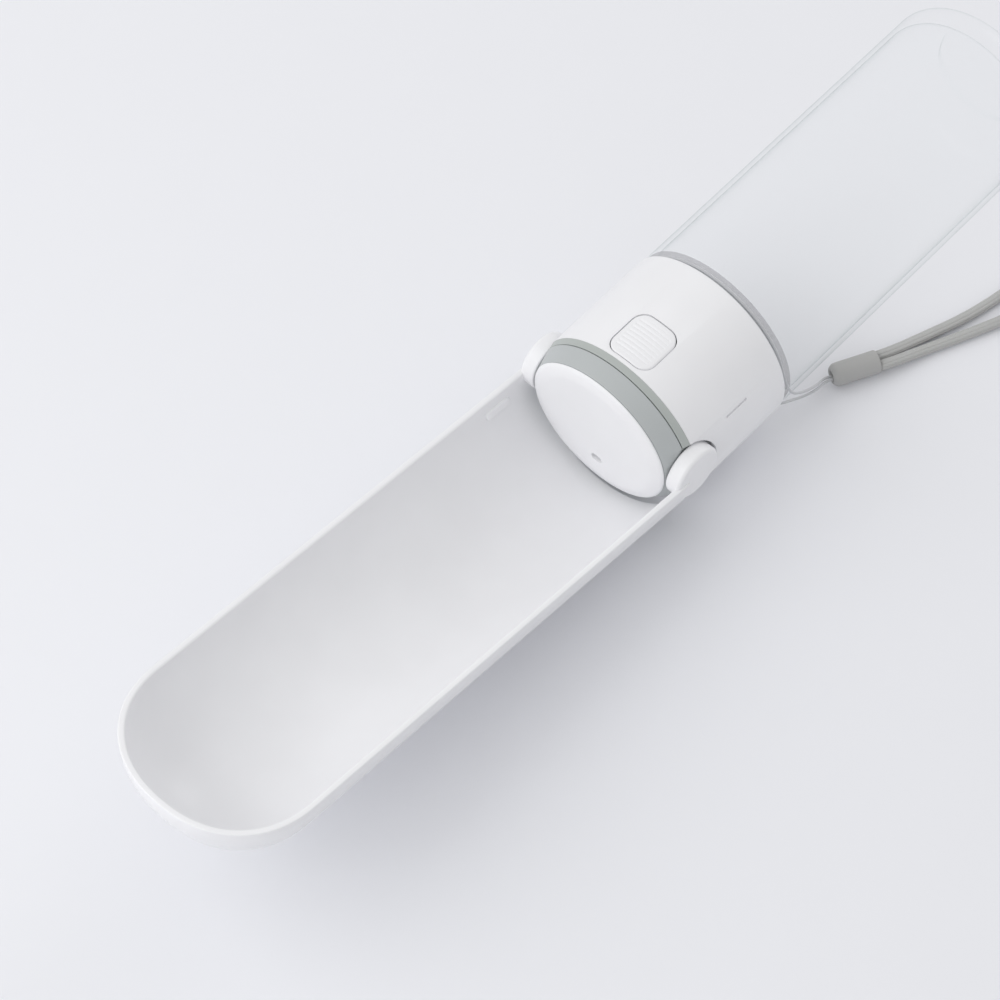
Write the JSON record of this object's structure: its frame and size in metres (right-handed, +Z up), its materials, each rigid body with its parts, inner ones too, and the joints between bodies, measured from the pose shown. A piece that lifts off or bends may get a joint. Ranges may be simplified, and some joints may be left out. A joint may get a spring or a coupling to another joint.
{
  "type": "dog travel water bottle",
  "caption": "Dog travel water bottle with a fold-out drinking trough, a push button, a clear bottle and a wrist lanyard, lying open.",
  "frame": {"origin": "middle of the length on the underside, at the bottom of the bounding box without the lanyard", "axes": "+X along the bottle's axis from the trough's tip to the bottle's base, +Y across, +Z up with the push button on top"},
  "size_m": [0.3962, 0.1194, 0.0646],
  "materials": {
    "white_plastic": "satin",
    "sage_plastic": "satin",
    "dark_sage_plastic": "satin",
    "clear_plastic": "clear",
    "inner_plastic": "satin",
    "silicone": "matte",
    "steel": "satin",
    "thin_cord": "braided",
    "sleeve": "matte",
    "strap_cloth": "woven"
  },
  "bodies": {
    "head": {"head_shell": "white_plastic", "front_core": "inner_plastic", "rear_ring": "sage_plastic", "front_ring": "dark_sage_plastic", "outlet_cap": "white_plastic", "outlet_tube": "inner_plastic", "hinge_pins": "steel", "button_guide": "inner_plastic", "button_spring": "steel", "valve_body": "inner_plastic", "valve_spring": "steel", "neck_collar": "inner_plastic", "neck_gasket": "silicone", "vent_valve": "silicone", "neck_cord": "thin_cord", "lanyard_crimp": "sleeve", "lanyard_strap": "strap_cloth"},
    "trough": {"trough": "white_plastic"},
    "button": {"button": "white_plastic"},
    "valve": {"valve_stem": "inner_plastic", "valve_seal": "silicone"},
    "bottle": {"bottle": "clear_plastic"}
  },
  "joints": [
    {"name": "trough_hinge", "type": "hinge", "parent": "head", "child": "trough", "pos_m": [0.00778, 0, 0.036], "axis": [0, 1, 0], "range_deg": [0, 172.1]},
    {"name": "button_press", "type": "slide", "parent": "head", "child": "button", "axis": [0, 0, -1], "range_m": [0, 0.002], "stiffness_N_per_m": 900, "springref_m": -0.001, "deforming": ["button_spring"]},
    {"name": "valve_lift", "type": "slide", "parent": "head", "child": "valve", "axis": [0, 0, -1], "range_m": [0, 0.002], "stiffness_N_per_m": 300, "springref_m": -0.001, "deforming": ["valve_spring"]},
    {"name": "bottle_turn", "type": "hinge", "parent": "head", "child": "bottle", "pos_m": [0.10928, 0, 0.032], "axis": [1, 0, 0], "continuous": true}
  ],
  "couplings": [
    {"joint": "valve_lift", "follows": "button_press", "ratio": 1}
  ]
}
